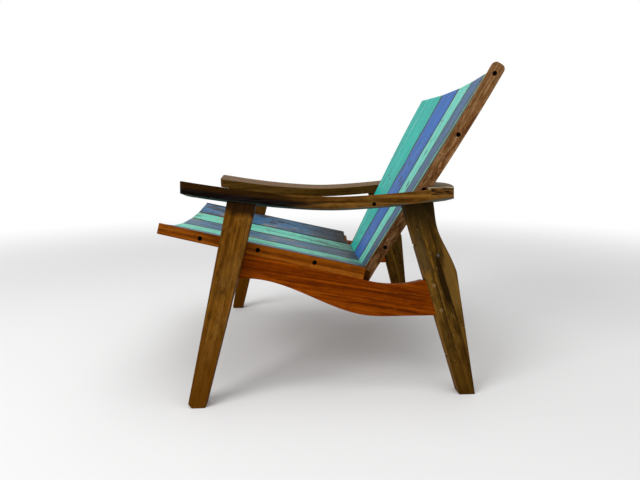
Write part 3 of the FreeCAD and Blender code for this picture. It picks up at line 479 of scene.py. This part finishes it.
def scuffed(finish, colour, wear):
    scuffs = finish.pattern(0.10, 0.045, detail=6.0, rough=0.72, shift=59.0)
    share = min(0.85 * wear, 0.85)
    colour = finish.blend(finish.where(scuffs, 0.53, 0.60, share), colour, paint_chip(50, 42, 36))
    return finish.blend(finish.where(scuffs, 0.45, 0.39, 0.6 * share), colour, paint_chip(146, 128, 98))


def darker_rear_end(finish, colour, rear_dark):
    """Darker towards the rear end, and ragged black at the end."""
    along = finish.plus(finish.axis("X"), finish.waver(0.14, 0.05, 0.012, shift=43.0))
    colour = finish.blend(finish.where(along, 0.06, 0.20, 0.85 * rear_dark), colour, paint_chip(42, 43, 44))
    return finish.blend(finish.where(along, 0.205, 0.245, rear_dark), colour, paint_chip(26, 21, 18))


def painted_slat(name, run, face, seed, paint, wear=BACK_WEAR, rear_dark=0.0, both_edges=True):
    """Old paint on the face, rubbed thin along the grain and off the long edges, and bare wood behind."""
    finish = Finish(name, run, face, seed)
    wood, _ = bare_wood(finish, SLAT_TONES)
    chalk = finish.pattern(0.30, 0.016, detail=4.0, rough=0.6, shift=7.0)
    thin = finish.pattern(0.12, 0.018, detail=5.0, rough=0.65, shift=17.0)
    rubbed = finish.where(thin, 0.72 - 0.12 * wear, 0.80 - 0.12 * wear)
    front = finish.where(finish.facing(finish.face), 0.35, 0.60)
    coated = finish.times(front, finish.minus(1.0, rubbed))
    colour = finish.blend(coated, wood, old_paint(finish, paint, chalk))
    if wear > BACK_WEAR:
        colour = scuffed(finish, colour, wear)
    for along, across, length, width in KNOCKS.get(name, ()):
        knock = finish.spot(along, across, length, width, ragged=0.8)
        colour = finish.blend(finish.times(knock, 0.8), colour, paint_chip(30, 36, 40))
    ragged = finish.waver(0.024, 0.06, 0.008, shift=3.0)
    edges = finish.where(finish.plus(finish.from_long_edges(both_edges), ragged), 0.0075, 0.0035)
    colour = finish.blend(finish.times(edges, 0.8), colour, SLAT_TONES.streak)
    cracks = finish.where(finish.pattern(0.12, 0.0080, swirl=0.3, shift=29.0), 0.635, 0.68, 0.7)
    nicks = finish.where(finish.pattern(0.020, 0.013, shift=37.0), 0.655, 0.69)
    marks = finish.maths("MAXIMUM", cracks, nicks)
    colour = finish.blend(finish.times(marks, 0.8), colour, paint_chip(36, 36, 34))
    if rear_dark:
        colour = darker_rear_end(finish, colour, rear_dark)
    finish.relief(edges, -0.0006)
    finish.relief(coated, 0.0003)
    finish.relief(marks, -0.0008)
    rough = finish.add("ShaderNodeMapRange", {"Value": chalk, "To Min": 0.38, "To Max": 0.62}).outputs[0]
    finish.done(colour, rough, sheen=0.2 - 0.14 * rear_dark)


def finish_slats():
    for seed, (place, paint, wear, rear_dark) in enumerate(SEAT_SLATS, 101):
        painted_slat("seat_slat_" + place, SEAT_RUN, SEAT_FACE, seed, paint, wear, rear_dark)
    for seed, (place, paint) in enumerate(BACK_SLATS, 111):
        painted_slat("back_slat_" + place, BACK_RUN, BACK_FACE, seed, paint, both_edges=place != "right")


def finish_fasteners():
    for seed, (name, dark, light, metallic) in enumerate(FASTENERS, 121):
        finish = Finish(name, ACROSS, SKY, seed)
        tarnish_and_shade = finish.pattern(0.003, 0.003)
        # For the screws in deep bores both tones are near black, painted shade of the bore
        colour = finish.shades(tarnish_and_shade, (0.35, paint_chip(*dark)), (0.65, paint_chip(*light)))
        finish.feed(finish.shader.inputs["Metallic"], metallic)
        finish.relief(tarnish_and_shade, 0.0001)
        finish.done(colour, finish.where(tarnish_and_shade, 0.2, 0.8, 0.6), crevice_shade=0.5)
    for seed, name in enumerate(("apron_pegs", "arm_dowels"), 131):
        finish, colour, rough = oiled_timber(name, OUT, REAR, seed, PEG_TONES, mottled=0.1)
        finish.done(colour, rough)


for side, turn, step in (("left", Vector, 0), ("right", other_side, 7)):
    finish_front_leg(side, turn, 1 + step)
    finish_rear_leg(side, turn, 2 + step)
    finish_side_board("seat_rail_" + side, RAIL_FALL, turn, 21 + step, RAIL_TONES)
    finish_side_board("side_apron_" + side, APRON_FALL, turn, 22 + step, APRON_TONES)
    finish_arm(side, turn, 41 + step)
finish_stile("left", Vector, 61)
finish_stile("right", other_side, 67)
finish_cross_rail()
finish_hidden_timber()
finish_slats()
finish_fasteners()


# Camera, light and floor
def place_camera():
    camera = bpy.data.objects.new("camera", bpy.data.cameras.new("camera"))
    camera.data.lens = LENS
    camera.data.clip_start = 0.05
    arm_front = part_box("arm_left")[0].y
    ahead = Vector((-cos(LOOK_REAR) * cos(LOOK_DOWN), sin(LOOK_REAR) * cos(LOOK_DOWN), -sin(LOOK_DOWN)))
    turn = ahead.to_track_quat("-Z", "Y").to_matrix() @ Matrix.Rotation(math.radians(LOOK_ROLL), 3, "Z")
    camera.matrix_world = turn.to_4x4()
    camera.location = (EYE_ASIDE, arm_front + EYE_BEHIND_ARM_FRONT, EYE_HEIGHT)
    bpy.context.collection.objects.link(camera)
    bpy.context.scene.camera = camera


def soft_lamp(name, place, aim, size, power):
    lamp = bpy.data.objects.new(name, bpy.data.lights.new(name, "AREA"))
    lamp.data.size = size
    lamp.data.energy = power
    lamp.location = place
    lamp.rotation_euler = (Vector(aim) - Vector(place)).to_track_quat("-Z", "Y").to_euler()
    bpy.context.collection.objects.link(lamp)


def seen_or_mirrored(nodes, links):
    """1 for what the camera, a reflection or clear stuff shows, 0 for the light that falls on things."""
    path = nodes.new("ShaderNodeLightPath")
    total = path.outputs["Is Camera Ray"]
    for way in ("Is Glossy Ray", "Is Transmission Ray"):
        both = nodes.new("ShaderNodeMath")
        both.operation = "MAXIMUM"
        links.new(total, both.inputs[0])
        links.new(path.outputs[way], both.inputs[1])
        total = both.outputs[0]
    return total


def light_room(daylight):
    world = bpy.data.worlds.new("studio")
    bpy.context.scene.world = world
    world.use_nodes = True
    nodes, links = world.node_tree.nodes, world.node_tree.links
    level = nodes.new("ShaderNodeMapRange")
    level.inputs["To Min"].default_value = daylight
    level.inputs["To Max"].default_value = 1.0
    links.new(seen_or_mirrored(nodes, links), level.inputs["Value"])
    links.new(level.outputs[0], nodes["Background"].inputs["Strength"])
    nodes["Background"].inputs["Color"].default_value = (1, 1, 1, 1)


def lay_floor(radius, shade, fade_from, fade_to):
    """A pale floor that keeps the shadow near the chair and goes over to white further out."""
    mesh = bmesh.new()
    bmesh.ops.create_circle(mesh, cap_ends=True, segments=96, radius=radius)
    data = bpy.data.meshes.new("floor")
    mesh.to_mesh(data)
    mesh.free()
    floor = bpy.data.objects.new("floor", data)
    bpy.context.collection.objects.link(floor)
    material = bpy.data.materials.new("pale_floor")
    material.use_nodes = True
    nodes, links = material.node_tree.nodes, material.node_tree.links
    nodes["Principled BSDF"].inputs["Base Color"].default_value = (shade, shade, shade, 1)
    nodes["Principled BSDF"].inputs["Roughness"].default_value = 0.9
    white = nodes.new("ShaderNodeEmission")
    distance = nodes.new("ShaderNodeVectorMath")
    distance.operation = "LENGTH"
    links.new(nodes.new("ShaderNodeTexCoord").outputs["Object"], distance.inputs[0])
    fade = nodes.new("ShaderNodeMapRange")
    fade.interpolation_type = "SMOOTHSTEP"
    fade.inputs["From Min"].default_value = fade_from
    fade.inputs["From Max"].default_value = fade_to
    links.new(distance.outputs["Value"], fade.inputs["Value"])
    share = nodes.new("ShaderNodeMath")
    share.operation = "MULTIPLY"
    links.new(fade.outputs[0], share.inputs[0])
    links.new(seen_or_mirrored(nodes, links), share.inputs[1])
    mix = nodes.new("ShaderNodeMixShader")
    links.new(share.outputs[0], mix.inputs[0])
    links.new(nodes["Principled BSDF"].outputs[0], mix.inputs[1])
    links.new(white.outputs[0], mix.inputs[2])
    links.new(mix.outputs[0], nodes["Material Output"].inputs["Surface"])
    data.materials.append(material)


bpy.context.scene.view_settings.view_transform = "Standard"
place_camera()
light_room(daylight=0.55)
soft_lamp("window", place=(2.0, -2.4, 2.6), aim=(0, 0, 0.35), size=1.8, power=70)
soft_lamp("overhead", place=(0.3, 0.2, 3.0), aim=(0, 0, 0.4), size=2.0, power=30)
lay_floor(radius=14.0, shade=0.80, fade_from=1.3, fade_to=4.0)
